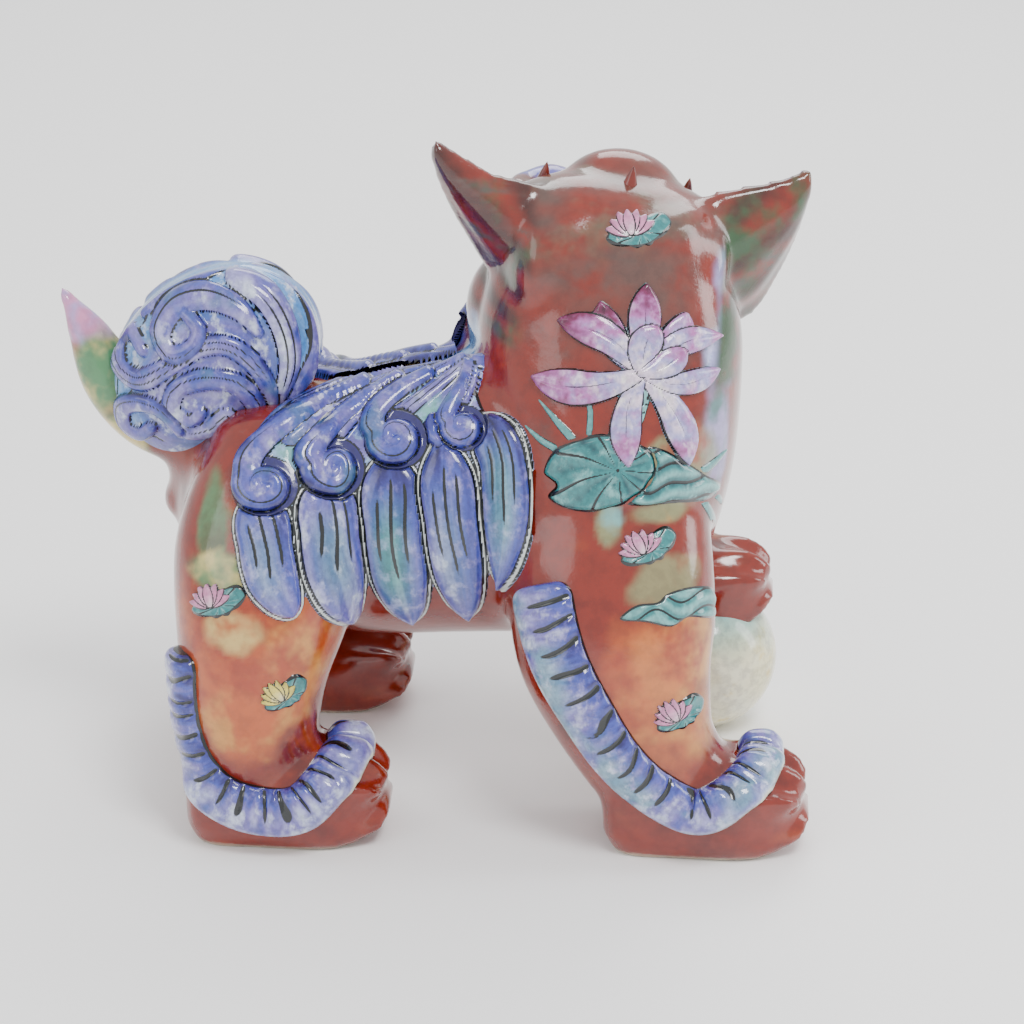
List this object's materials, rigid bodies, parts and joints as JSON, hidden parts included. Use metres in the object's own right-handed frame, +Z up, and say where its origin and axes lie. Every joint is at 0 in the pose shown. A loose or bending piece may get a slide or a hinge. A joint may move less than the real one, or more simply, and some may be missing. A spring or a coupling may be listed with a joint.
{
  "type": "foo dog figure",
  "caption": "Standing guardian lion in painted glazed pottery, head turned to its left, one forepaw on a ball, plume tail and carved wings.",
  "frame": {"origin": "on the ground, at the middle of the underside of the figure's bounding box", "axes": "+X the way the body faces, +Y the figure's own left, +Z up"},
  "size_m": [0.4442, 0.272, 0.4058],
  "materials": {
    "glaze": "glossy painted glaze"
  },
  "bodies": {
    "root": {"foo_dog": "glaze"}
  },
  "joints": []
}
